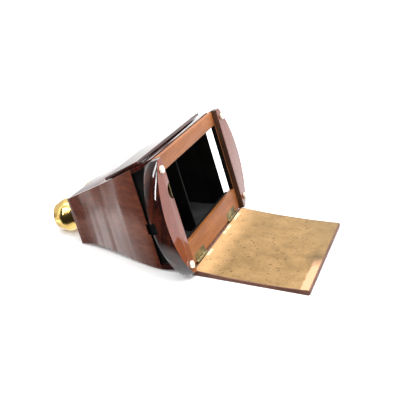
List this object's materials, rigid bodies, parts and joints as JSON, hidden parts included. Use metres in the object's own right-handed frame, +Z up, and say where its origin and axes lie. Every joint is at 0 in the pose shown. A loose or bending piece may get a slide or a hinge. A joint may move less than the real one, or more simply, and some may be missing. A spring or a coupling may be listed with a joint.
{
  "type": "box stereoscope viewer",
  "caption": "Tapering wooden box viewer for stereo cards, with brass focusing eyepieces, a mirror-lined light lid, side card slots and a fold-down back door.",
  "frame": {"origin": "on the table, under the centre of the whole object's box, door open flat", "axes": "+X across the viewer towards the cheek with the thumb notch, +Y from the eyepieces towards the open door, +Z up from the table"},
  "size_m": [0.25, 0.2978, 0.12],
  "materials": {
    "polished_mahogany": "french-polished dark mahogany veneer",
    "frame_mahogany": "waxed mahogany with open pores",
    "black_paint": "matt black paint on wood and card",
    "black_paper": "matt black paper",
    "bone": "polished turned bone",
    "old_brass": "dull old brass",
    "polished_brass": "polished and lacquered brass",
    "lens_glass": "clear polished glass",
    "mirror": "silvered glass",
    "tan_lining": "aged tan paper with brown spots"
  },
  "bodies": {
    "body": {"side_panel_right": "polished_mahogany", "side_panel_left": "polished_mahogany", "top_panel": "polished_mahogany", "bottom_panel": "polished_mahogany", "eyepiece_board": "polished_mahogany", "septum": "black_paint", "inner_wall_right": "black_paint", "inner_wall_left": "black_paint", "floor_lining": "black_paper", "roof_lining": "black_paper", "slide_runner_top": "black_paint", "slide_runner_bottom": "black_paint", "frame_top_rail": "frame_mahogany", "frame_bottom_rail": "frame_mahogany", "frame_stile_right": "frame_mahogany", "frame_stile_left": "frame_mahogany", "cheek_right": "polished_mahogany", "cheek_left": "polished_mahogany", "bone_feet": "bone", "bone_foot_pins": "old_brass", "catch_plate": "old_brass", "catch_screw": "old_brass", "door_hinge_frame_leaves": "old_brass", "door_hinge_frame_screws": "old_brass", "lid_hinge_body_leaves": "old_brass", "eyepiece_flange_right": "polished_brass", "eyepiece_flange_left": "polished_brass", "flange_screws": "polished_brass"},
    "door": {"door_panel": "polished_mahogany", "door_lining": "tan_lining", "door_hinge_door_leaves": "old_brass", "door_hinge_pins": "old_brass", "door_hinge_door_screws": "old_brass"},
    "lid": {"lid_panel": "polished_mahogany", "lid_mirror": "mirror", "lid_hinge_lid_leaves": "old_brass", "lid_hinge_pins": "old_brass"},
    "eyepiece_right": {"focus_tube_right": "polished_brass", "eyecup_right": "polished_brass", "lens_right": "lens_glass", "lens_ring_right": "polished_brass"},
    "eyepiece_left": {"focus_tube_left": "polished_brass", "eyecup_left": "polished_brass", "lens_left": "lens_glass", "lens_ring_left": "polished_brass"}
  },
  "joints": [
    {"name": "door_hinge", "type": "hinge", "parent": "body", "child": "door", "pos_m": [0, 0.02841, 0.0052], "axis": [1, 0, 0], "range_deg": [0, 109.5]},
    {"name": "lid_hinge", "type": "hinge", "parent": "body", "child": "lid", "pos_m": [0, -0.06863, 0.08273], "axis": [1, 0, 0], "range_deg": [-0.4, 105]},
    {"name": "focus_slide_right", "type": "slide", "parent": "body", "child": "eyepiece_right", "axis": [0, -0.9423, -0.3346], "range_m": [-0.0055, 0.0085]},
    {"name": "focus_slide_left", "type": "slide", "parent": "body", "child": "eyepiece_left", "axis": [0, -0.9423, -0.3346], "range_m": [-0.0005, 0.0135]}
  ]
}
